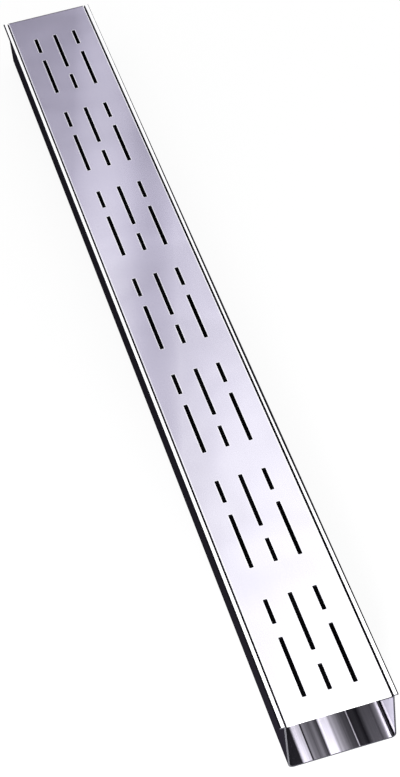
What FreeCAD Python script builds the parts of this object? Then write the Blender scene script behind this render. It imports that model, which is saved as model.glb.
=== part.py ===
import FreeCAD, Part
import math
import os

# Slot drain: a channel folded from one stainless sheet, with a flat slotted cover
# that lies flush between its rims. The near end is open, and an end plate closes
# the far one. The cover is carried by folded supports that stand on the channel's
# floor under the blank bands between the groups of slots. All lengths are in
# millimetres. X runs across the channel, Y along it and Z up. The origin is the
# centre of the channel's underside.

# Channel, folded from one sheet
CHANNEL_LENGTH = 900.0
CHANNEL_WIDTH = 80.0  # outside the two walls
CHANNEL_HEIGHT = 48.0
CHANNEL_SHEET = 1.2
FLOOR_BEND_RADIUS = 2.8  # inside of the bend between floor and wall
RIM_OVERHANG = 3.0  # how far the rim stands out past the wall
RIM_BEND_RADIUS = 0.5  # inside of the bend between wall and rim
RIM_EDGE_RADIUS = 0.4  # dressed free edge of the rim

# Cover plate
COVER_SHEET = 1.5
COVER_SIDE_GAP = 0.8  # between the cover and each wall
COVER_EDGE_RADIUS = 0.3

# Slots, punched in groups of three columns
SLOT_WIDTH = 2.8
SLOT_CORNER_RADIUS = 0.5
LONG_SLOT = 55.5
SHORT_SLOT = 23.5
SLOT_END_GAP = 13.5  # metal between the two slots of one column
COLUMN_SPACING = 18.8
BLANK_BAND = 32.5  # metal between two groups
NEAR_END_MARGIN = 20.0  # from the open end to the first slots
SMALLEST_FAR_MARGIN = 30.0

# End plate, welded between the walls at the far end
END_PLATE_SHEET = 1.2
END_PLATE_CORNER_RADIUS = 0.4  # its two top corners

# Cover supports, folded from strip
SUPPORT_SHEET = 1.2
SUPPORT_WIDTH = 20.0  # along the channel
SUPPORT_FOOT = 12.0  # how far each foot turns in from the outside of its leg

# Sizes that follow from the ones above
HALF_WIDTH = CHANNEL_WIDTH / 2
HALF_LENGTH = CHANNEL_LENGTH / 2
INSIDE_HALF_WIDTH = HALF_WIDTH - CHANNEL_SHEET
COVER_HALF_WIDTH = INSIDE_HALF_WIDTH - COVER_SIDE_GAP
COVER_UNDERSIDE = CHANNEL_HEIGHT - COVER_SHEET
GROUP_LENGTH = LONG_SLOT + SLOT_END_GAP + SHORT_SLOT
GROUP_PITCH = GROUP_LENGTH + BLANK_BAND
FIRST_GROUP = NEAR_END_MARGIN + GROUP_LENGTH / 2 - HALF_LENGTH
LENGTH_FOR_SLOTS = CHANNEL_LENGTH - NEAR_END_MARGIN - SMALLEST_FAR_MARGIN
GROUP_COUNT = math.floor((LENGTH_FOR_SLOTS + BLANK_BAND) / GROUP_PITCH)


def corner_arc(before, corner, after, radius):
    """Arc that rounds a corner, tangent to the lines to the points beside it."""
    to_before = (before - corner).normalize()
    to_after = (after - corner).normalize()
    half_angle = to_before.getAngle(to_after) / 2
    tangent_length = radius / math.tan(half_angle)
    bisector = (to_before + to_after).normalize()
    centre = corner + bisector * (radius / math.sin(half_angle))
    start = corner + to_before * tangent_length
    middle = centre - bisector * radius
    end = corner + to_after * tangent_length
    return Part.Arc(start, middle, end).toShape()


def rounded_face(corners):
    """Flat face in the XY plane from (x, y, corner radius) in order round its outline."""
    points = [FreeCAD.Vector(x, y, 0) for x, y, radius in corners]
    arcs = []
    for i, (x, y, radius) in enumerate(corners):
        following = points[(i + 1) % len(points)]
        arcs.append(corner_arc(points[i - 1], points[i], following, radius))
    edges = []
    for i, arc in enumerate(arcs):
        next_arc = arcs[(i + 1) % len(arcs)]
        run = Part.makeLine(arc.Vertexes[-1].Point, next_arc.Vertexes[0].Point)
        edges += [arc, run]
    return Part.Face(Part.Wire(edges))


def mirrored(right_side):
    """Whole outline from its right side, listed from the bottom to the top."""
    left_side = [(-x, z, radius) for x, z, radius in reversed(right_side)]
    return right_side + left_side


def drawn_along_y(corners, length, centre_y=0.0):
    """Bar with the given (x, z, corner radius) section, centred on centre_y."""
    section = rounded_face(corners)
    section.rotate(FreeCAD.Vector(0, 0, 0), FreeCAD.Vector(1, 0, 0), 90)
    section.translate(FreeCAD.Vector(0, centre_y - length / 2, 0))
    return section.extrude(FreeCAD.Vector(0, length, 0))


def make_channel():
    """Floor, two walls and two out-turned rims, folded from one sheet."""
    rim_tip = HALF_WIDTH + RIM_OVERHANG
    rim_underside = CHANNEL_HEIGHT - CHANNEL_SHEET
    outer_floor_bend = FLOOR_BEND_RADIUS + CHANNEL_SHEET
    outer_rim_bend = RIM_BEND_RADIUS + CHANNEL_SHEET
    right_side = [
        (HALF_WIDTH, 0.0, outer_floor_bend),
        (HALF_WIDTH, rim_underside, RIM_BEND_RADIUS),
        (rim_tip, rim_underside, RIM_EDGE_RADIUS),
        (rim_tip, CHANNEL_HEIGHT, RIM_EDGE_RADIUS),
        (INSIDE_HALF_WIDTH, CHANNEL_HEIGHT, outer_rim_bend),
        (INSIDE_HALF_WIDTH, CHANNEL_SHEET, FLOOR_BEND_RADIUS),
    ]
    return drawn_along_y(mirrored(right_side), CHANNEL_LENGTH)


def make_slot(centre_x, near_y, length):
    """Cutter for one slot, from its near end, through the whole cover."""
    half_width = SLOT_WIDTH / 2
    far_y = near_y + length
    outline = [
        (centre_x - half_width, near_y, SLOT_CORNER_RADIUS),
        (centre_x + half_width, near_y, SLOT_CORNER_RADIUS),
        (centre_x + half_width, far_y, SLOT_CORNER_RADIUS),
        (centre_x - half_width, far_y, SLOT_CORNER_RADIUS),
    ]
    face = rounded_face(outline)
    face.translate(FreeCAD.Vector(0, 0, COVER_UNDERSIDE - COVER_SHEET))
    return face.extrude(FreeCAD.Vector(0, 0, 3 * COVER_SHEET))


def make_column(column, near_y):
    """Two slots in line. The long one is nearer in the outer columns, farther in the middle."""
    lengths = [SHORT_SLOT, LONG_SLOT] if column == 0 else [LONG_SLOT, SHORT_SLOT]
    centre_x = column * COLUMN_SPACING
    second_y = near_y + lengths[0] + SLOT_END_GAP
    return [make_slot(centre_x, near_y, lengths[0]), make_slot(centre_x, second_y, lengths[1])]


def group_centre(group):
    """Y of the middle of one group of slots."""
    return FIRST_GROUP + group * GROUP_PITCH


def make_cover():
    """Flat plate, flush with the rims and with the channel's ends, cut by its slots."""
    right_side = [
        (COVER_HALF_WIDTH, COVER_UNDERSIDE, COVER_EDGE_RADIUS),
        (COVER_HALF_WIDTH, CHANNEL_HEIGHT, COVER_EDGE_RADIUS),
    ]
    plate = drawn_along_y(mirrored(right_side), CHANNEL_LENGTH)
    slots = []
    for group in range(GROUP_COUNT):
        near_y = group_centre(group) - GROUP_LENGTH / 2
        for column in (-1, 0, 1):
            slots += make_column(column, near_y)
    return plate.cut(Part.makeCompound(slots))


def make_end_plate():
    """Plate that fits the channel's inside and carries the far end of the cover."""
    right_side = [
        (INSIDE_HALF_WIDTH, CHANNEL_SHEET, FLOOR_BEND_RADIUS),
        (INSIDE_HALF_WIDTH, COVER_UNDERSIDE, END_PLATE_CORNER_RADIUS),
    ]
    centre_y = HALF_LENGTH - END_PLATE_SHEET / 2
    return drawn_along_y(mirrored(right_side), END_PLATE_SHEET, centre_y)


def make_support(centre_y):
    """Bridge under the cover: a web, two legs beside the walls and two in-turned feet."""
    outer_bend = FLOOR_BEND_RADIUS
    inner_bend = outer_bend - SUPPORT_SHEET
    leg_inside = COVER_HALF_WIDTH - SUPPORT_SHEET
    foot_tip = COVER_HALF_WIDTH - SUPPORT_FOOT
    foot_top = CHANNEL_SHEET + SUPPORT_SHEET
    web_underside = COVER_UNDERSIDE - SUPPORT_SHEET
    edge_radius = RIM_EDGE_RADIUS
    outside = [
        (foot_tip, CHANNEL_SHEET, edge_radius),
        (COVER_HALF_WIDTH, CHANNEL_SHEET, outer_bend),
        (COVER_HALF_WIDTH, COVER_UNDERSIDE, outer_bend),
    ]
    inside = [
        (leg_inside, web_underside, inner_bend),
        (leg_inside, foot_top, inner_bend),
        (foot_tip, foot_top, edge_radius),
    ]
    left_outside = [(-x, z, radius) for x, z, radius in reversed(outside)]
    left_inside = [(-x, z, radius) for x, z, radius in reversed(inside)]
    outline = outside + left_outside + left_inside + inside
    return drawn_along_y(outline, SUPPORT_WIDTH, centre_y)


def make_parts():
    """Every piece of the drain, by the name of its node."""
    parts = {
        "channel": make_channel(),
        "slotted_cover": make_cover(),
        "end_plate": make_end_plate(),
    }
    for band in range(GROUP_COUNT - 1):
        band_centre = group_centre(band) + GROUP_PITCH / 2
        parts[f"cover_support_{band + 1}"] = make_support(band_centre)
    return parts


os.makedirs("parts", exist_ok=True)
for name, shape in make_parts().items():
    shape.exportStep(f"parts/{name}.step")
    print(name, "valid", shape.isValid(), "solids", len(shape.Solids), "volume", round(shape.Volume))
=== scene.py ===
"""Slot drain: a channel folded from stainless sheet, its slotted cover, and the stage for both."""

import math

import bmesh
import bpy
from mathutils import Matrix, Vector


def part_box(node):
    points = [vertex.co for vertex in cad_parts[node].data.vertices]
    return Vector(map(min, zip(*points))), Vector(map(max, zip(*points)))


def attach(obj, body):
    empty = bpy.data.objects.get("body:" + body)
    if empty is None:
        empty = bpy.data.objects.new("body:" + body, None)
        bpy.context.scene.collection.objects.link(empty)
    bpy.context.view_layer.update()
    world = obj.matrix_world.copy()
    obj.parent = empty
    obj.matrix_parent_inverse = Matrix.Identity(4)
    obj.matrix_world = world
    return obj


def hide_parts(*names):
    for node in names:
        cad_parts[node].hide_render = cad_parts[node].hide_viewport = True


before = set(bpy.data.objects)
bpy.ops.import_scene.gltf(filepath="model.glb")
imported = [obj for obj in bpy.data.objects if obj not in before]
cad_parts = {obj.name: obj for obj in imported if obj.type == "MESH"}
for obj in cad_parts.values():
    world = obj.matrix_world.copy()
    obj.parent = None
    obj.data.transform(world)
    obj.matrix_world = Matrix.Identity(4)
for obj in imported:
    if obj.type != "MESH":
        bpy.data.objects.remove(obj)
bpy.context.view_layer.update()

bl_info = {
    "name": "Slot Drain",
    "version": (1, 0, 0),
    "blender": (4, 5, 0),
    "location": "View3D > Sidebar > Slot Drain",
    "description": "Dresses a folded drain channel and its slotted cover, and sets their stage",
    "category": "Add Mesh",
}

ROOT_BODY = "root"
WHITE = (1.0, 1.0, 1.0)

# All lengths are in metres. The channel's sheet and its bends are as the CAD model has them.
COVER_LOW, COVER_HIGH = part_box("slotted_cover")
CHANNEL_LOW, CHANNEL_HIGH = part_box("channel")
SHEET = 0.0012
FLOOR_BEND = 0.0028
RIM_OVERHANG = 0.003
BEND_TOP = SHEET + FLOOR_BEND
WALL_FACE = CHANNEL_HIGH.x - RIM_OVERHANG

# Zones of the channel's finish
CUT_DEPTH = 0.00002  # of the sheared ends
LEFT_END_FADE = 4 * SHEET  # from the left wall's face to where the painted light on its cut end has faded out
PAINTED_SHADE_START = 0.05  # how far in from the open end the polished floor gives way to painted shade
PAINTED_SHADE_FADE = 0.004  # half of the soft edge between the polish and the painted shade
SHADE_LINE = 0.001  # painted shade: dark line on the walls just under the cover
SHADE_SLOPE = 0.73  # how much farther in the painted shade strip starts for each metre down
WALL_FOOT = 0.0062  # painted highlight: pale strip at the foot of the walls
LEFT_RIM_START = WALL_FACE - SHEET / 2
RIGHT_RIM_START = WALL_FACE - SHEET / 4
LEFT_RIM_LINE = 0.0012  # painted shade: dark line along the left rim's outer edge
RIGHT_RIM_LINE = 0.0019  # painted shade: dark line along the right rim's outer edge, at its widest
LINE_PEAK = -0.12  # where along the channel the right line is widest
LINE_FAR_SHARE = 0.25  # what is left of its width at the far end
LINE_NEAR_LOSS = 0.5  # what is lost of its width at the near end

# How much of the light a zone of the channel scatters, where bare metal would mirror it
REFLECTION_STREAK_FROST = 0.75
WALL_FROST = 0.9
RIM_FROST = 0.75
CUT_FROST = 0.6

# Sheen of the whole sheet
ROUGHNESS_SWING = 0.1  # how much the roughness varies from cloud to cloud
SHEET_SPECULAR = 0.05
ROLLED_GRAIN = 0.95  # how far the grain stretches a highlight

# Painted reflection streaks on the polished floor: millimetres from its middle, and how pale it is
# there
REFLECTION_STREAKS = (
    (-29.5, 0.01), (-28.0, 0.6), (-24.0, 0.75), (-22.4, 0.6), (-21.9, 0.015), (-21.2, 0.015),
    (-20.5, 0.23), (-16.0, 0.09), (-13.0, 0.15), (-9.3, 0.03), (-8.0, 1.0), (-2.3, 1.0),
    (-0.8, 0.42), (2.0, 0.27), (5.5, 0.12), (9.0, 0.035), (12.3, 0.04), (12.8, 0.6),
    (13.3, 0.014), (17.0, 0.022), (20.0, 0.006), (25.5, 0.1), (30.5, 0.045), (33.6, 0.2),
    (34.7, 0.5), (35.2, 1.0), (36.2, 1.0), (36.5, 0.0), (36.9, 0.0), (37.1, 0.07),
    (37.4, 0.07), (37.6, 0.0),
)

# Cover plate
CORNER_STEPS = 4  # points on each rounded corner of a slot
WELD_DISTANCE = 0.00001
BEVEL_STEPS = 3
BEVEL_ANGLE = math.radians(40)
FLAT = 0.98  # how straight up or down a face points where the plate is flat
PLATE_EDGE = 0.002  # strip along the plate's outline that holds no slot
SLOT_HIGHLIGHT_REACH = 0.0013  # reach of the painted highlight round each slot
FAR_EDGE_LINE = 0.0014  # width of the dark line at the far edge
VALLEY_PLACE = 0.113  # where a shallow valley crosses the middle of the plate
VALLEY_SLANT = 4.0  # how far it runs along the plate for each metre across
NEAR_BANK = 0.15  # length of the slope on its near side
NEAR_BANK_HEIGHT = 0.0018
FAR_BANK = 0.22  # length of the slope on its far side
FAR_BANK_HEIGHT = 0.0033

# Supports
SUPPORT_RUBBED_EDGE = 0.0003
SUPPORT_EDGE_COLOUR = (0.1, 0.1, 0.105)

# Floor, cards and end lamp
FLOOR_REACH = 20.0
FLOOR_GLOW = 0.88  # share of plain white in the floor, as the camera and the metal see it
CARD_INNER = 0.0376  # just clear of the rounded bend under each wall
CARD_OUTER = 0.5
CARD_NEAR = -0.7
CARD_FAR = 1.5
CARD_HEIGHT = 0.0002
CARD_COLOUR = (0.025, 0.023, 0.03)
LAMP_PLACE = Vector((-0.1, -0.85, 0.22))
LAMP_SIZE = 0.12

# Light tent. Each row of its cloth gives how far toward the bright side, and how bright it glows.
TENT_RADIUS = 3.0
BURIED = -0.01  # height under which the tent is cut away
BRIGHT_SIDE = Vector((0.6, -0.25, 0.76))
LAVENDER = (1.08, 1.0, 1.4)  # tint of the cloth where it glows least
WHITE_CLOTH = 1.5  # brightness from which the cloth has no tint left
CLOTH = (
    (0.0, 0.6), (0.1, 0.3), (0.15, 0.06), (0.22, 0.33), (0.26, 0.49), (0.34, 0.7),
    (0.41, 0.63), (0.475, 0.94), (0.53, 1.3), (0.6, 1.4), (0.7, 1.5), (0.78, 1.6),
)


def length_property(name, description, default):
    """A length that a user may change, in metres."""
    return bpy.props.FloatProperty(
        name=name, description=description, default=default, min=0.0, precision=5, unit="LENGTH"
    )


def colour_property(name, description, default):
    """A linear colour that a user may change."""
    return bpy.props.FloatVectorProperty(
        name=name,
        description=description,
        default=default,
        size=3,
        min=0.0,
        max=1.0,
        subtype="COLOR",
    )


def share_property(name, description, default):
    """A share from nothing to all that a user may change."""
    return bpy.props.FloatProperty(
        name=name, description=description, default=default, min=0.0, max=1.0, subtype="FACTOR"
    )


def angle_property(name, description, degrees):
    """An angle that a user may change, its default given in degrees."""
    return bpy.props.FloatProperty(
        name=name,
        description=description,
        default=math.radians(degrees),
        subtype="ANGLE",
        unit="ROTATION",
    )


class SlotDrainCoverSettings(bpy.types.PropertyGroup):
    """Sizes and colours of the slotted cover."""

    slot_width: length_property("Slot Width", "Width of every slot", 0.0028)
    slot_corner: length_property("Slot Corner", "Radius at the corners of a slot", 0.0005)
    long_slot: length_property("Long Slot", "Length of the long slots", 0.0555)
    short_slot: length_property("Short Slot", "Length of the short slots", 0.0235)
    end_gap: length_property("End Gap", "Metal between the two slots of one column", 0.0135)
    column_spacing: length_property("Column Spacing", "Distance from column to column", 0.0188)
    group_pitch: length_property("Group Pitch", "Distance from group to group", 0.125)
    near_margin: length_property("Near Margin", "Blank plate at the open end", 0.02)
    group_count: bpy.props.IntProperty(
        name="Groups", description="Number of groups of slots", default=7, min=1
    )
    deburring: length_property("Deburring", "How far the cut edges are rounded off", 0.00035)
    colour: colour_property("Steel", "Colour of the satin steel", (0.80, 0.79, 0.83))
    # Painted shade: the slots' walls and rounded edges are near-black
    slot_wall_shade: colour_property("Cut Walls", "Colour of the slots' walls", (0.03, 0.03, 0.033))
    # Painted shade on the underside, on top of its dull finish
    underside: colour_property("Underside", "Colour of the dull underside", (0.3, 0.295, 0.32))
    far_line: colour_property("Far Edge", "Colour of the line at the far edge", (0.2, 0.19, 0.2))


class SlotDrainChannelSettings(bpy.types.PropertyGroup):
    """Colours and sheen of the channel and of the supports inside it."""

    # Pale and dark colours of the painted reflection streaks on the floor; the pale one is also the
    # painted highlight at the walls' foot
    inside: colour_property("Inside", "Colour of the pale streaks inside", (0.91, 0.87, 1.0))
    dark_reflection_streaks: colour_property(
        "Dark Streaks", "Colour between the pale streaks", (0.003, 0.0027, 0.0045)
    )
    outside: colour_property("Outside", "Colour of the dull outside", (0.42, 0.41, 0.45))
    rim: colour_property("Rims", "Colour of the frosted rims", (0.96, 0.96, 0.97))
    sheared: colour_property("Cut Ends", "Colour of the sheared ends", (0.045, 0.045, 0.055))
    # Painted light: the left cut end is lighter than the other cut ends
    painted_light_left_end: colour_property("Left Cut End", "Colour of the dressed left end", (0.09, 0.09, 0.1))
    # Colour of the painted shade deep inside, under the cover and along the rims' outer edges
    painted_shade: colour_property("Mill Film", "Colour of the film deep inside", (0.012, 0.012, 0.014))
    # Satin inner walls; their pale lavender tone is a painted reflection
    wall: colour_property("Inner Walls", "Colour of the satin inner walls", (0.56, 0.535, 0.65))
    # Painted shade: the supports are near-black under the cover
    support: colour_property("Supports", "Colour of the hidden supports", (0.03, 0.03, 0.033))
    inside_roughness: share_property("Inside Roughness", "Roughness of the polished inside", 0.16)
    wall_roughness: share_property("Wall Roughness", "Roughness of the inner walls", 0.3)
    outside_roughness: share_property("Outside Roughness", "Roughness of the outside", 0.34)
    rim_roughness: share_property("Rim Roughness", "Roughness of the frosted rims", 0.6)


class SlotDrainStageSettings(bpy.types.PropertyGroup):
    """Floor, end lamp and camera."""

    floor: colour_property("Floor", "Colour of the floor", (0.95, 0.95, 0.95))
    lamp_power: bpy.props.FloatProperty(
        name="End Lamp",
        description="Power of the lamp before the open end",
        default=6.0,
        min=0.0,
        unit="POWER",
    )
    camera_place: bpy.props.FloatVectorProperty(
        name="Camera",
        description="Where the camera stands",
        default=(-0.2305, -1.3145, 1.2381),
        unit="LENGTH",
    )
    heading: angle_property("Heading", "Turn of the camera from the channel's length", 10.72)
    drop: angle_property("Drop", "How far the camera looks down", 44.17)
    roll: angle_property("Roll", "How far the camera is tipped over", -7.577)
    lens: bpy.props.FloatProperty(
        name="Lens", description="Focal length", default=99.19, unit="CAMERA"
    )


def feed(tree, socket, value):
    """Links an input to another socket, or sets it to a value."""
    if isinstance(value, bpy.types.NodeSocket):
        tree.links.new(value, socket)
    else:
        socket.default_value = value


def add_node(tree, kind, settings=None, **inputs):
    """One node, with its settings and with its inputs linked from a socket or set to a value."""
    node = tree.nodes.new(kind)
    for name, value in (settings or {}).items():
        setattr(node, name, value)
    for name, value in inputs.items():
        feed(tree, node.inputs[name.replace("_", " ")], value)
    return node


def combine(tree, operation, *values):
    """Output of a Math node on up to three sockets or numbers."""
    node = add_node(tree, "ShaderNodeMath", {"operation": operation})
    for socket, value in zip(node.inputs, values):
        feed(tree, socket, value)
    return node.outputs[0]


def scaled(tree, value, gain, base=0.0):
    """The value times a gain, on top of a base."""
    return combine(tree, "MULTIPLY_ADD", value, gain, base)


def magnitude(tree, value):
    """The value without its sign."""
    return combine(tree, "ABSOLUTE", value)


def above(tree, value, limit):
    """Mask of where the value is greater than a limit."""
    return combine(tree, "GREATER_THAN", value, limit)


def below(tree, value, limit):
    """Mask of where the value is less than a limit."""
    return combine(tree, "LESS_THAN", value, limit)


def both(tree, first, second):
    """Mask of where two masks overlap."""
    return combine(tree, "MULTIPLY", first, second)


def either(tree, first, second):
    """Mask of where one mask or the other lies."""
    return combine(tree, "MAXIMUM", first, second)


def opposite(tree, mask):
    """Mask of all that another one leaves out."""
    return combine(tree, "SUBTRACT", 1.0, mask)


def rescale(tree, value, low, high, new_low, new_high):
    """The value moved from one range to another and held inside it, with soft ends."""
    node = add_node(
        tree,
        "ShaderNodeMapRange",
        {"interpolation_type": "SMOOTHSTEP"},
        Value=value,
        From_Min=low,
        From_Max=high,
        To_Min=new_low,
        To_Max=new_high,
    )
    return node.outputs["Result"]


def split(tree, vector):
    """The X, Y and Z of a vector."""
    return add_node(tree, "ShaderNodeSeparateXYZ", Vector=vector).outputs


def joined(tree, x=0.0, y=0.0, z=0.0):
    """Vector from three sockets or numbers."""
    return add_node(tree, "ShaderNodeCombineXYZ", X=x, Y=y, Z=z).outputs["Vector"]


def blend_colours(tree, share, first, second):
    """Mix of two colours, each a socket or an RGB triple."""
    node = add_node(tree, "ShaderNodeMix", {"data_type": "RGBA"}, Factor=share)
    for name, colour in (("A", first), ("B", second)):
        socket = next(s for s in node.inputs if s.name == name and s.type == "RGBA")
        is_socket = isinstance(colour, bpy.types.NodeSocket)
        feed(tree, socket, colour if is_socket else (*colour, 1.0))
    return next(s for s in node.outputs if s.type == "RGBA")


def blend_values(tree, share, first, second):
    """Mix of two values, each a socket or a number."""
    return add_node(tree, "ShaderNodeMix", Factor=share, A=first, B=second).outputs["Result"]


def dimmed(colour, share):
    """A share of a colour's brightness."""
    return tuple(channel * share for channel in colour)


def object_point(tree):
    """The object's own coordinates, in metres."""
    return add_node(tree, "ShaderNodeTexCoord").outputs["Object"]


def bumped(tree, height, distance, base=None):
    """Normal of a relief, its height times a distance in metres, on top of a base normal."""
    node = add_node(tree, "ShaderNodeBump", Height=height, Distance=distance, Strength=1.0)
    if base is not None:
        tree.links.new(base, node.inputs["Normal"])
    return node.outputs["Normal"]


def fill_ramp(node, stops):
    """Gives a colour ramp its stops, each a position and an RGB colour."""
    elements = node.color_ramp.elements
    elements.remove(elements[1])
    for index, (position, colour) in enumerate(stops):
        stop = elements[0] if index == 0 else elements.new(position)
        stop.position = position
        stop.color = (*colour, 1.0)


def new_group(name, inputs, outputs):
    """Empty shader group with its input and output nodes. Sockets are given as name: type."""
    group = bpy.data.node_groups.new(name, "ShaderNodeTree")
    for socket_name, socket_type in inputs.items():
        group.interface.new_socket(socket_name, in_out="INPUT", socket_type=socket_type)
    for socket_name, socket_type in outputs.items():
        group.interface.new_socket(socket_name, in_out="OUTPUT", socket_type=socket_type)
    return group, group.nodes.new("NodeGroupInput").outputs, group.nodes.new("NodeGroupOutput")


def grain_group(name):
    """Shader group: fine lines left by brushing or rolling along the sheet."""
    group, given, result = new_group(
        name,
        {"Point": "NodeSocketVector", "Lines": "NodeSocketFloat", "Run": "NodeSocketFloat"},
        {"Grain": "NodeSocketFloat"},
    )
    scale = joined(group, given["Lines"], given["Run"], given["Lines"])
    lines = add_node(
        group, "ShaderNodeVectorMath", {"operation": "MULTIPLY"}, Vector=given["Point"]
    )
    group.links.new(scale, lines.inputs[1])
    noise = add_node(
        group,
        "ShaderNodeTexNoise",
        Vector=lines.outputs["Vector"],
        Scale=1.0,
        Detail=4.0,
        Roughness=0.65,
    )
    group.links.new(noise.outputs["Fac"], result.inputs["Grain"])
    return group


def cloud_group(name):
    """Shader group: slow waves and cloudy patches of a rolled sheet."""
    group, given, result = new_group(
        name,
        {"Point": "NodeSocketVector", "Scale": "NodeSocketFloat"},
        {"Cloud": "NodeSocketFloat"},
    )
    noise = add_node(
        group,
        "ShaderNodeTexNoise",
        Vector=given["Point"],
        Scale=given["Scale"],
        Detail=2.0,
        Roughness=0.45,
        Distortion=0.4,
    )
    group.links.new(noise.outputs["Fac"], result.inputs["Cloud"])
    return group


def edge_group(name):
    """Shader group: strip along edges, a painted highlight on the cover's deburred edges and rubbed
    edges on the supports.
    """
    group, given, result = new_group(
        name, {"Radius": "NodeSocketFloat"}, {"Edge": "NodeSocketFloat"}
    )
    depth = add_node(
        group,
        "ShaderNodeAmbientOcclusion",
        {"samples": 8, "inside": True, "only_local": True},
        Distance=given["Radius"],
    )
    edge = rescale(group, depth.outputs["AO"], 0.97, 0.7, 0.0, 1.0)
    group.links.new(edge, result.inputs["Edge"])
    return group


def use_group(tree, name, maker, **inputs):
    """First output of a shader group placed in a material. The group is built once."""
    group = bpy.data.node_groups.get(name) or maker(name)
    return add_node(tree, "ShaderNodeGroup", {"node_tree": group}, **inputs).outputs[0]


def grain_on(tree, point, lines, run):
    """Lengthwise grain, in lines a metre across the sheet and breaks a metre along it."""
    return use_group(tree, "Lengthwise Grain", grain_group, Point=point, Lines=lines, Run=run)


def clouds_on(tree, point, scale):
    """Cloudy patches, as many a metre as the scale says."""
    return use_group(tree, "Rolled Clouds", cloud_group, Point=point, Scale=scale)


def edge_wear_and_highlight(tree, radius):
    """Mask of a strip along each edge, as wide as the radius."""
    return use_group(tree, "Edge Wear And Highlight", edge_group, Radius=radius)


def new_material(name, colour):
    """Metal with its Principled shader's inputs, ready for its nodes."""
    material = bpy.data.materials.new(name)
    material.use_nodes = True
    material.diffuse_color = (*colour, 1.0)
    inputs = material.node_tree.nodes["Principled BSDF"].inputs
    inputs["Metallic"].default_value = 1.0
    return material, material.node_tree, inputs


def satin_cover_steel(settings):
    """Fine satin steel with a lavender tone, cloudy patches and faint lengthwise grain, painted
    highlights round the slots and painted shade in them and underneath.
    """
    material, tree, shader = new_material("satin_cover_steel", settings.colour)
    point = object_point(tree)
    cloud = clouds_on(tree, point, scale=9.0)
    grain = grain_on(tree, point, lines=900.0, run=14.0)
    edge = edge_wear_and_highlight(tree, SLOT_HIGHLIGHT_REACH)
    cut, under = cover_zones(tree, point)
    patches = rescale(tree, cloud, 0.35, 0.65, 0.0, 1.0)
    colour = blend_colours(tree, patches, dimmed(settings.colour, 0.9), settings.colour)
    for mask, mask_colour in (
        # painted highlight round the slots
        (edge, WHITE),
        # painted shade on the dull underside
        (under, settings.underside),
        (far_edge_line(tree, point), settings.far_line),
        # painted shade in the slots
        (cut, settings.slot_wall_shade),
    ):
        colour = blend_colours(tree, mask, colour, mask_colour)
    satin = scaled(tree, edge, gain=0.25, base=scaled(tree, grain, gain=0.1, base=0.2))
    dull = scaled(tree, either(tree, cut, under), gain=0.5)
    valley = bumped(tree, shallow_valley(tree, point), distance=1.0)
    waves = bumped(tree, cloud, distance=0.0012, base=valley)
    feed(tree, shader["Base Color"], colour)
    feed(tree, shader["Metallic"], scaled(tree, edge, gain=-0.3, base=1.0))
    feed(tree, shader["Roughness"], combine(tree, "MAXIMUM", satin, dull))
    feed(tree, shader["Normal"], bumped(tree, grain, distance=0.0000015, base=waves))
    return material


def shallow_valley(tree, point):
    """Height of the plate, in metres, beside one shallow valley that crosses it slantwise."""
    place = split(tree, point)
    along = scaled(tree, place["X"], gain=-VALLEY_SLANT, base=place["Y"])
    near_end = VALLEY_PLACE - NEAR_BANK
    far_end = VALLEY_PLACE + FAR_BANK
    near = rescale(tree, along, VALLEY_PLACE, near_end, 0.0, NEAR_BANK_HEIGHT)
    far = rescale(tree, along, VALLEY_PLACE, far_end, 0.0, FAR_BANK_HEIGHT)
    return combine(tree, "ADD", near, far)


def far_edge_line(tree, point):
    """Mask of a dark line along the cover's far edge."""
    return above(tree, split(tree, point)["Y"], COVER_HIGH.y - FAR_EDGE_LINE)


def cover_zones(tree, point):
    """Masks of the slots' walls with their rounded edges, and of the plate's underside, where the
    cover's shade is painted.
    """
    normal = add_node(tree, "ShaderNodeNewGeometry").outputs["Normal"]
    up = split(tree, normal)["Z"]
    upright = below(tree, magnitude(tree, up), FLAT)
    under = below(tree, up, -FLAT)
    place = split(tree, point)
    within_width = below(tree, magnitude(tree, place["X"]), COVER_HIGH.x - PLATE_EDGE)
    within_length = below(tree, magnitude(tree, place["Y"]), COVER_HIGH.y - PLATE_EDGE)
    return both(tree, upright, both(tree, within_width, within_length)), under


def sheet_zones(tree, point):
    """Masks of the channel's zones, from where they lie on the folded sheet."""
    place = split(tree, point)
    side, along, height = place["X"], place["Y"], place["Z"]
    across = magnitude(tree, side)
    from_end = combine(tree, "SUBTRACT", along, CHANNEL_LOW.y)
    high = above(tree, height, CHANNEL_HIGH.z - SHEET)
    rim_start = rescale(tree, side, -SHEET, SHEET, LEFT_RIM_START, RIGHT_RIM_START)
    rim = both(tree, above(tree, across, rim_start), high)
    beyond_wall = above(tree, across, WALL_FACE - SHEET / 2)
    under = below(tree, height, SHEET / 2)
    outside = both(tree, either(tree, beyond_wall, under), opposite(tree, high))
    inside = opposite(tree, either(tree, rim, outside))
    inner_wall = both(tree, above(tree, height, BEND_TOP), inside)
    foot = below(tree, height, BEND_TOP + WALL_FOOT)
    near_cut = below(tree, from_end, CUT_DEPTH)
    far_cut = above(tree, along, CHANNEL_HIGH.y - CUT_DEPTH)
    # painted light on the left cut end, fading away from the left wall
    left = rescale(tree, side, SHEET - WALL_FACE, LEFT_END_FADE - WALL_FACE, 1.0, 0.0)
    return {
        "inner_wall": inner_wall,
        "painted_foot_highlight": both(tree, inner_wall, foot),
        "painted_shade": both(tree, painted_shade_inside(tree, from_end, height), inside),
        "outside": outside,
        "rim": rim,
        "rim_edge": rim_edge(tree, side, along, rim),
        "sheared": either(tree, near_cut, far_cut),
        "painted_light_left_end": both(tree, near_cut, left),
    }


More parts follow.
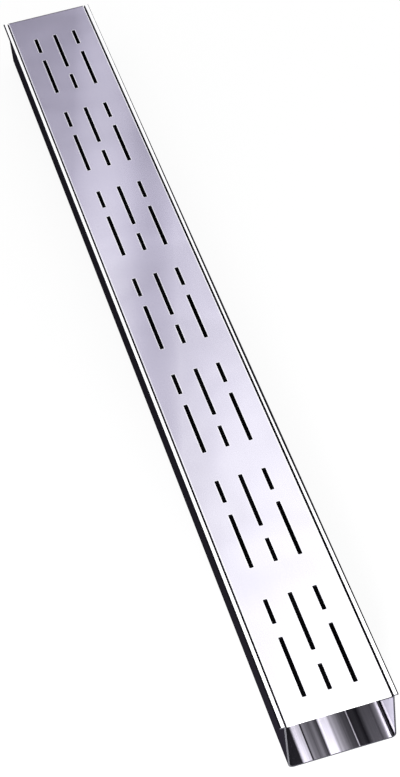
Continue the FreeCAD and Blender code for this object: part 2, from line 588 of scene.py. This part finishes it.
def painted_shade_inside(tree, from_end, height):
    """Mask of the painted shade: deep inside, and high on the walls just under the cover."""
    polish_starts, polish_ends = PAINTED_SHADE_START - PAINTED_SHADE_FADE, PAINTED_SHADE_START + PAINTED_SHADE_FADE
    deep = rescale(tree, from_end, polish_starts, polish_ends, 0.0, 1.0)
    drop = combine(tree, "SUBTRACT", COVER_LOW.z - SHADE_LINE, height)
    shaded = above(tree, from_end, scaled(tree, drop, SHADE_SLOPE))
    on_the_wall = above(tree, height, BEND_TOP)
    return either(tree, deep, both(tree, shaded, on_the_wall))


def rim_edge(tree, side, along, rim):
    """Mask of the painted shade, a dark line along the rims' outer edges. The right one thins
    toward its ends.
    """
    far_width = RIGHT_RIM_LINE * LINE_FAR_SHARE
    near_loss = RIGHT_RIM_LINE * LINE_NEAR_LOSS
    width = rescale(tree, along, LINE_PEAK, CHANNEL_HIGH.y, RIGHT_RIM_LINE, far_width)
    loss = rescale(tree, along, LINE_PEAK, CHANNEL_LOW.y, 0.0, near_loss)
    right_width = combine(tree, "SUBTRACT", width, loss)
    width = blend_values(tree, above(tree, side, 0.0), LEFT_RIM_LINE, right_width)
    from_edge = combine(tree, "SUBTRACT", CHANNEL_HIGH.x, magnitude(tree, side))
    return both(tree, below(tree, from_edge, width), rim)


def painted_reflection_streaks(tree, point, grain):
    """How pale the floor is at a point, from its painted reflection streaks and a little from the
    grain.
    """
    across = split(tree, point)["X"]
    floor_width = 2 * WALL_FACE
    ramp = add_node(
        tree, "ShaderNodeValToRGB", Fac=scaled(tree, across, gain=1 / floor_width, base=0.5)
    )
    stops = []
    for place, pale in REFLECTION_STREAKS:
        stops.append((0.5 + place / 1000 / floor_width, (pale, pale, pale)))
    fill_ramp(ramp, stops)
    unevenness = rescale(tree, grain, 0.3, 0.7, 0.7, 1.2)
    return combine(tree, "MULTIPLY", ramp.outputs["Color"], unevenness)


def folded_channel_steel(settings):
    """One sheet with a polished inside streaked by painted reflections, painted shade deep in, a
    dull outside and frosted rims.
    """
    material, tree, shader = new_material("folded_channel_steel", settings.inside)
    point = object_point(tree)
    zones = sheet_zones(tree, point)
    grain = grain_on(tree, point, lines=300.0, run=3.0)
    cloud = clouds_on(tree, point, scale=60.0)
    pale = painted_reflection_streaks(tree, point, grain)
    # painted reflection streaks across the floor
    colour = blend_colours(tree, pale, settings.dark_reflection_streaks, settings.inside)
    frost = REFLECTION_STREAK_FROST
    roughness = settings.inside_roughness
    for zone, zone_colour, zone_frost, zone_roughness in (
        # inner walls; their lavender tone is a painted reflection
        ("inner_wall", settings.wall, WALL_FROST, settings.wall_roughness),
        # painted highlight at the foot of the walls
        ("painted_foot_highlight", settings.inside, WALL_FROST, settings.wall_roughness),
        # painted shade deep inside and high on the walls under the cover
        ("painted_shade", settings.painted_shade, 0.0, settings.outside_roughness),
        ("outside", settings.outside, 0.0, settings.outside_roughness),
        ("rim", settings.rim, RIM_FROST, settings.rim_roughness),
        # painted shade along the rims' outer edges
        ("rim_edge", settings.painted_shade, 0.0, settings.wall_roughness),
        ("sheared", settings.sheared, CUT_FROST, settings.rim_roughness),
        # painted light on the left cut end
        ("painted_light_left_end", settings.painted_light_left_end, CUT_FROST, settings.rim_roughness),
    ):
        mask = zones[zone]
        smoothest = zone_roughness - ROUGHNESS_SWING / 2
        varied = scaled(tree, cloud, gain=ROUGHNESS_SWING, base=smoothest)
        colour = blend_colours(tree, mask, colour, zone_colour)
        frost = blend_values(tree, mask, frost, zone_frost)
        roughness = blend_values(tree, mask, roughness, varied)
    waves = bumped(tree, cloud, distance=0.00002)
    feed(tree, shader["Base Color"], colour)
    feed(tree, shader["Metallic"], opposite(tree, frost))
    feed(tree, shader["Roughness"], roughness)
    feed(tree, shader["Specular IOR Level"], SHEET_SPECULAR)
    feed(tree, shader["Anisotropic"], ROLLED_GRAIN)
    feed(tree, shader["Tangent"], joined(tree, y=1.0))
    feed(tree, shader["Normal"], bumped(tree, grain, distance=0.000004, base=waves))
    return material


def rolled_support_steel(settings):
    """Near-black supports, hidden under the cover: painted shade, with rolled streaks and lighter
    rubbed edges.
    """
    material, tree, shader = new_material("rolled_support_steel", settings.support)
    point = object_point(tree)
    grain = grain_on(tree, point, lines=300.0, run=300.0)
    edge = edge_wear_and_highlight(tree, SUPPORT_RUBBED_EDGE)
    streaks = rescale(tree, grain, 0.3, 0.7, 0.0, 1.0)
    colour = blend_colours(tree, streaks, settings.support, dimmed(settings.support, 0.75))
    colour = blend_colours(tree, edge, colour, SUPPORT_EDGE_COLOUR)
    feed(tree, shader["Base Color"], colour)
    feed(tree, shader["Roughness"], scaled(tree, grain, gain=0.2, base=0.25))
    feed(tree, shader["Normal"], bumped(tree, grain, distance=0.00001))
    return material


def rectangle(tree, width, length):
    """Closed curve round a rectangle that is centred on the origin."""
    kind = "GeometryNodeCurvePrimitiveQuadrilateral"
    return add_node(tree, kind, Width=width, Height=length).outputs["Curve"]


def moved(tree, geometry, **offset):
    """Geometry moved by x, y or z."""
    node = add_node(
        tree, "GeometryNodeTransform", Geometry=geometry, Translation=joined(tree, **offset)
    )
    return node.outputs["Geometry"]


def gathered(tree, *pieces):
    """Several geometries as one."""
    node = add_node(tree, "GeometryNodeJoinGeometry")
    for piece in pieces:
        tree.links.new(piece, node.inputs["Geometry"])
    return node.outputs["Geometry"]


def copies(tree, piece, count, start, step, **inputs):
    """Copies of a piece on a row of points."""
    points = add_node(
        tree, "GeometryNodeMeshLine", Count=count, Start_Location=start, Offset=step
    )
    node = add_node(
        tree,
        "GeometryNodeInstanceOnPoints",
        Points=points.outputs["Mesh"],
        Instance=piece,
        **inputs,
    )
    return node.outputs["Instances"]


def slot_outline(tree, given, length, centre_y):
    """Outline of one slot, with rounded corners."""
    rounded = add_node(
        tree,
        "GeometryNodeFilletCurve",
        {"mode": "POLY"},
        Curve=rectangle(tree, given["Slot Width"], length),
        Count=CORNER_STEPS,
        Radius=given["Slot Corner"],
    )
    return moved(tree, rounded.outputs["Curve"], y=centre_y)


def slot_column(tree, given, short_and_gap):
    """Two slots in line about the origin, the long one nearer."""
    long_and_gap = combine(tree, "ADD", given["Long Slot"], given["End Gap"])
    near_centre = combine(tree, "MULTIPLY", short_and_gap, -0.5)
    far_centre = combine(tree, "MULTIPLY", long_and_gap, 0.5)
    near_slot = slot_outline(tree, given, given["Long Slot"], near_centre)
    far_slot = slot_outline(tree, given, given["Short Slot"], far_centre)
    return gathered(tree, near_slot, far_slot)


def slot_groups(tree, given):
    """Outlines of every slot: groups of three columns, the middle one turned end for end."""
    short_and_gap = combine(tree, "ADD", given["Short Slot"], given["End Gap"])
    column = slot_column(tree, given, short_and_gap)
    index = add_node(tree, "GeometryNodeInputIndex").outputs["Index"]
    half_turn = combine(tree, "MULTIPLY", combine(tree, "MODULO", index, 2.0), math.pi)
    turn = add_node(tree, "FunctionNodeEulerToRotation", Euler=joined(tree, z=half_turn))
    spacing = given["Column Spacing"]
    group = copies(
        tree,
        column,
        count=3,
        start=joined(tree, x=combine(tree, "MULTIPLY", spacing, -1.0)),
        step=joined(tree, x=spacing),
        Rotation=turn.outputs["Rotation"],
    )
    group_length = combine(tree, "ADD", given["Long Slot"], short_and_gap)
    near_end = combine(tree, "MULTIPLY", given["Length"], -0.5)
    first_slots = combine(tree, "ADD", near_end, given["Near Margin"])
    groups = copies(
        tree,
        group,
        count=given["Groups"],
        start=joined(tree, y=scaled(tree, group_length, 0.5, first_slots)),
        step=joined(tree, y=given["Group Pitch"]),
    )
    return add_node(tree, "GeometryNodeRealizeInstances", Geometry=groups).outputs["Geometry"]


def closed_plate(tree, face, thickness):
    """Plate of a thickness that stands on a flat face, with its faces outward."""
    raised = add_node(
        tree,
        "GeometryNodeExtrudeMesh",
        Mesh=face,
        Offset=joined(tree, z=thickness),
        Offset_Scale=1.0,
        Individual=False,
    )
    back = add_node(tree, "GeometryNodeFlipFaces", Mesh=face)
    halves = gathered(tree, raised.outputs["Mesh"], back.outputs["Mesh"])
    welded = add_node(
        tree, "GeometryNodeMergeByDistance", Geometry=halves, Distance=WELD_DISTANCE
    )
    return welded.outputs["Geometry"]


def cover_tree(sizes, material):
    """Geometry nodes for a plate with groups of slots, with one input for each size."""
    tree = bpy.data.node_groups.new("Slotted Cover Plate", "GeometryNodeTree")
    for name in sizes:
        socket = tree.interface.new_socket(name, in_out="INPUT", socket_type="NodeSocketFloat")
        socket.subtype = "DISTANCE"
    tree.interface.new_socket("Groups", in_out="INPUT", socket_type="NodeSocketInt")
    tree.interface.new_socket("Plate", in_out="OUTPUT", socket_type="NodeSocketGeometry")
    given = tree.nodes.new("NodeGroupInput").outputs
    result = tree.nodes.new("NodeGroupOutput")
    outline = rectangle(tree, given["Width"], given["Length"])
    drawing = gathered(tree, slot_groups(tree, given), outline)
    face = add_node(tree, "GeometryNodeFillCurve", {"mode": "NGONS"}, Curve=drawing)
    plate = closed_plate(tree, face.outputs["Mesh"], given["Sheet"])
    placed = moved(tree, plate, z=given["Underside"])
    smooth = add_node(
        tree, "GeometryNodeSetShadeSmooth", Geometry=placed, Shade_Smooth=True
    )
    plain = add_node(tree, "GeometryNodeRealizeInstances", Geometry=smooth.outputs["Geometry"])
    finished = add_node(
        tree, "GeometryNodeSetMaterial", Geometry=plain.outputs["Geometry"], Material=material
    )
    tree.links.new(finished.outputs["Geometry"], result.inputs["Plate"])
    return tree


def set_inputs(modifier, values):
    """Sets a geometry nodes modifier's inputs by the identifiers of their sockets."""
    for item in modifier.node_group.interface.items_tree:
        if item.item_type == "SOCKET" and item.in_out == "INPUT":
            modifier[item.identifier] = values[item.name]


def deburr(piece, width):
    """Rounds off a plate's sharp edges and evens its shading."""
    edges = piece.modifiers.new("Deburred Edges", "BEVEL")
    edges.width = width
    edges.use_clamp_overlap = False
    edges.segments = BEVEL_STEPS
    edges.limit_method = "ANGLE"
    edges.angle_limit = BEVEL_ANGLE
    piece.modifiers.new("Even Shading", "WEIGHTED_NORMAL")


def settled(maker, name):
    """Plain mesh object with the result of another object's modifiers."""
    evaluated = maker.evaluated_get(bpy.context.evaluated_depsgraph_get())
    mesh = bpy.data.meshes.new_from_object(evaluated)
    mesh.name = name
    bpy.data.objects.remove(maker)
    piece = bpy.data.objects.new(name, mesh)
    bpy.context.scene.collection.objects.link(piece)
    return piece


class SLOTDRAIN_OT_make_cover(bpy.types.Operator):
    """Make the slotted cover, with deburred slots and its satin finish"""

    bl_idname = "slotdrain.make_cover"
    bl_label = "Make Cover"

    def execute(self, context):
        settings = context.scene.slot_drain_cover
        plate_size = COVER_HIGH - COVER_LOW
        sizes = {
            "Length": plate_size.y,
            "Width": plate_size.x,
            "Sheet": plate_size.z,
            "Underside": COVER_LOW.z,
            "Slot Width": settings.slot_width,
            "Slot Corner": settings.slot_corner,
            "Long Slot": settings.long_slot,
            "Short Slot": settings.short_slot,
            "End Gap": settings.end_gap,
            "Column Spacing": settings.column_spacing,
            "Group Pitch": settings.group_pitch,
            "Near Margin": settings.near_margin,
        }
        maker = bpy.data.objects.new("cover_maker", bpy.data.meshes.new("cover_maker"))
        context.scene.collection.objects.link(maker)
        plate = maker.modifiers.new("Slotted Plate", "NODES")
        plate.node_group = cover_tree(sizes, satin_cover_steel(settings))
        set_inputs(plate, {**sizes, "Groups": settings.group_count})
        deburr(maker, settings.deburring)
        cover = settled(maker, "slotted_cover_plate")
        if not cover.data.polygons:
            raise RuntimeError("the slotted plate came out empty")
        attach(cover, ROOT_BODY)
        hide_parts("slotted_cover")
        return {"FINISHED"}


def give_material(node_name, material):
    """Puts a material in every slot of a CAD node."""
    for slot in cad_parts[node_name].material_slots:
        slot.material = material


class SLOTDRAIN_OT_finish_channel(bpy.types.Operator):
    """Give the folded channel its polished inside with painted reflections and painted shade, dull
    outside and frosted rims
    """

    bl_idname = "slotdrain.finish_channel"
    bl_label = "Finish Channel"

    def execute(self, context):
        material = folded_channel_steel(context.scene.slot_drain_channel)
        give_material("channel", material)
        give_material("end_plate", material)
        return {"FINISHED"}


class SLOTDRAIN_OT_finish_supports(bpy.types.Operator):
    """Give the supports under the cover their near-black painted shade, grain and rubbed edges"""

    bl_idname = "slotdrain.finish_supports"
    bl_label = "Finish Supports"

    def execute(self, context):
        material = rolled_support_steel(context.scene.slot_drain_channel)
        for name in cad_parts:
            if name.startswith("cover_support"):
                give_material(name, material)
        return {"FINISHED"}


def flat_sheet(name, low, high, height, material):
    """Level rectangle between two (x, y) corners."""
    mesh = bpy.data.meshes.new(name)
    corners = [(low[0], low[1], height), (high[0], low[1], height)]
    corners += [(high[0], high[1], height), (low[0], high[1], height)]
    mesh.from_pydata(corners, [], [(0, 1, 2, 3)])
    mesh.materials.append(material)
    sheet = bpy.data.objects.new(name, mesh)
    bpy.context.scene.collection.objects.link(sheet)
    return sheet


def plain_material(name):
    """Material with only an output node."""
    material = bpy.data.materials.new(name)
    material.use_nodes = True
    material.node_tree.nodes.clear()
    output = material.node_tree.nodes.new("ShaderNodeOutputMaterial")
    return material, material.node_tree, output


def floor_material(colour):
    """Matt floor that looks white to the camera and in the metal, and still takes a shadow."""
    material, tree, output = plain_material("white_floor")
    paint = add_node(tree, "ShaderNodeBsdfDiffuse", Color=(*colour, 1.0))
    glow = add_node(tree, "ShaderNodeEmission", Strength=1.0)
    path = add_node(tree, "ShaderNodeLightPath").outputs
    seen = either(tree, path["Is Camera Ray"], path["Is Glossy Ray"])
    seen = either(tree, seen, path["Is Transmission Ray"])
    mixed = add_node(tree, "ShaderNodeMixShader")
    tree.links.new(scaled(tree, seen, FLOOR_GLOW), mixed.inputs[0])
    tree.links.new(paint.outputs["BSDF"], mixed.inputs[1])
    tree.links.new(glow.outputs["Emission"], mixed.inputs[2])
    tree.links.new(mixed.outputs["Shader"], output.inputs["Surface"])
    return material


def dark_card_material():
    """Black card that darkens the side wall it stands beside."""
    material, tree, output = plain_material("black_card")
    paint = add_node(tree, "ShaderNodeBsdfDiffuse", Color=(*CARD_COLOUR, 1.0))
    tree.links.new(paint.outputs["BSDF"], output.inputs["Surface"])
    return material


def tent_material():
    """Glowing cloth in soft folds: brighter toward its bright side, with a dark band low behind."""
    material, tree, output = plain_material("tent_cloth")
    toward = add_node(
        tree, "ShaderNodeVectorMath", {"operation": "DOT_PRODUCT"}, Vector=object_point(tree)
    )
    toward.inputs[1].default_value = BRIGHT_SIDE / TENT_RADIUS
    ramp = add_node(tree, "ShaderNodeValToRGB", Fac=toward.outputs["Value"])
    stops = []
    for position, brightness in CLOTH:
        tint = max(0.0, 1.0 - brightness / WHITE_CLOTH)
        stops.append((position, [brightness * (1.0 + (c - 1.0) * tint) for c in LAVENDER]))
    fill_ramp(ramp, stops)
    glow = add_node(tree, "ShaderNodeEmission", Color=ramp.outputs["Color"], Strength=1.0)
    tree.links.new(glow.outputs["Emission"], output.inputs["Surface"])
    return material


def hide_from_camera(piece):
    """Leaves a stage piece to the reflections in the metal alone."""
    piece.visible_camera = False
    piece.visible_diffuse = False
    piece.visible_shadow = False


def lay_cards():
    """Two black cards on the floor, one beside each wall, seen only in the metal."""
    material = dark_card_material()
    for name, low_x, high_x in (
        ("left_black_card", -CARD_OUTER, -CARD_INNER),
        ("right_black_card", CARD_INNER, CARD_OUTER),
    ):
        low, high = (low_x, CARD_NEAR), (high_x, CARD_FAR)
        hide_from_camera(flat_sheet(name, low, high, CARD_HEIGHT, material))


def make_tent():
    """Dome of glowing cloth over the stage, seen only in the metal."""
    shell = bmesh.new()
    bmesh.ops.create_uvsphere(shell, u_segments=64, v_segments=32, radius=TENT_RADIUS)
    buried = [v for v in shell.verts if v.co.z < BURIED]
    bmesh.ops.delete(shell, geom=buried, context="VERTS")
    mesh = bpy.data.meshes.new("light_tent")
    shell.to_mesh(mesh)
    shell.free()
    mesh.materials.append(tent_material())
    tent = bpy.data.objects.new("light_tent", mesh)
    bpy.context.scene.collection.objects.link(tent)
    hide_from_camera(tent)


def light_world():
    """Even pale light from all round."""
    world = bpy.data.worlds.new("pale_studio")
    world.use_nodes = True
    background = world.node_tree.nodes["Background"]
    background.inputs["Color"].default_value = (*WHITE, 1.0)
    background.inputs["Strength"].default_value = 1.0
    bpy.context.scene.world = world


def make_end_lamp(settings):
    """Small soft lamp in front of the open end, low on the left."""
    data = bpy.data.lights.new("end_lamp", "AREA")
    data.energy = settings.lamp_power
    data.size = LAMP_SIZE
    lamp = bpy.data.objects.new("end_lamp", data)
    toward_end = Vector((0.0, CHANNEL_LOW.y, 0.0)) - LAMP_PLACE
    turn = toward_end.to_track_quat("-Z", "Y").to_matrix().to_4x4()
    lamp.matrix_world = Matrix.Translation(LAMP_PLACE) @ turn
    bpy.context.scene.collection.objects.link(lamp)
    lamp.visible_camera = False
    lamp.visible_glossy = False


def make_camera(settings):
    """Camera at the photograph's angle."""
    data = bpy.data.cameras.new("photo_camera")
    data.lens = settings.lens
    data.sensor_width = 36.0
    data.clip_end = 100.0
    camera = bpy.data.objects.new("photo_camera", data)
    turn = Matrix.Rotation(-settings.heading, 4, "Z")
    tilt = Matrix.Rotation(math.pi / 2 - settings.drop, 4, "X")
    roll = Matrix.Rotation(settings.roll, 4, "Z")
    camera.matrix_world = Matrix.Translation(settings.camera_place) @ turn @ tilt @ roll
    bpy.context.scene.collection.objects.link(camera)
    bpy.context.scene.camera = camera


class SLOTDRAIN_OT_set_stage(bpy.types.Operator):
    """Lay the floor and the cards, raise the light tent and place the lamp and the camera"""

    bl_idname = "slotdrain.set_stage"
    bl_label = "Set Stage"

    def execute(self, context):
        settings = context.scene.slot_drain_stage
        low, high = (-FLOOR_REACH, -FLOOR_REACH), (FLOOR_REACH, FLOOR_REACH)
        flat_sheet("white_floor", low, high, 0.0, floor_material(settings.floor))
        lay_cards()
        make_tent()
        light_world()
        make_end_lamp(settings)
        make_camera(settings)
        context.scene.view_settings.view_transform = "Standard"
        return {"FINISHED"}


class SLOTDRAIN_PT_panel(bpy.types.Panel):
    """Lists the drain's settings and the steps that make it"""

    bl_idname = "SLOTDRAIN_PT_panel"
    bl_label = "Slot Drain"
    bl_space_type = "VIEW_3D"
    bl_region_type = "UI"
    bl_category = "Slot Drain"

    def draw(self, context):
        scene = context.scene
        channel_steps = (SLOTDRAIN_OT_finish_channel, SLOTDRAIN_OT_finish_supports)
        for title, settings, operators in (
            ("Cover", scene.slot_drain_cover, (SLOTDRAIN_OT_make_cover,)),
            ("Channel", scene.slot_drain_channel, channel_steps),
            ("Stage", scene.slot_drain_stage, (SLOTDRAIN_OT_set_stage,)),
        ):
            box = self.layout.box()
            box.label(text=title)
            for name in settings.__annotations__:
                box.prop(settings, name)
            for operator in operators:
                box.operator(operator.bl_idname)


CLASSES = (
    SlotDrainCoverSettings,
    SlotDrainChannelSettings,
    SlotDrainStageSettings,
    SLOTDRAIN_OT_make_cover,
    SLOTDRAIN_OT_finish_channel,
    SLOTDRAIN_OT_finish_supports,
    SLOTDRAIN_OT_set_stage,
    SLOTDRAIN_PT_panel,
)

SETTINGS = {
    "slot_drain_cover": SlotDrainCoverSettings,
    "slot_drain_channel": SlotDrainChannelSettings,
    "slot_drain_stage": SlotDrainStageSettings,
}


def register():
    """Registers the classes and hangs the settings on the scene."""
    for item in CLASSES:
        bpy.utils.register_class(item)
    for name, group in SETTINGS.items():
        setattr(bpy.types.Scene, name, bpy.props.PointerProperty(type=group))


def unregister():
    """Takes the settings off the scene and unregisters the classes."""
    for name in SETTINGS:
        delattr(bpy.types.Scene, name)
    for item in reversed(CLASSES):
        bpy.utils.unregister_class(item)


def main():
    """Makes every piece in order, then the stage."""
    register()
    bpy.ops.slotdrain.make_cover()
    bpy.ops.slotdrain.finish_channel()
    bpy.ops.slotdrain.finish_supports()
    bpy.ops.slotdrain.set_stage()


if __name__ == "__main__":
    main()
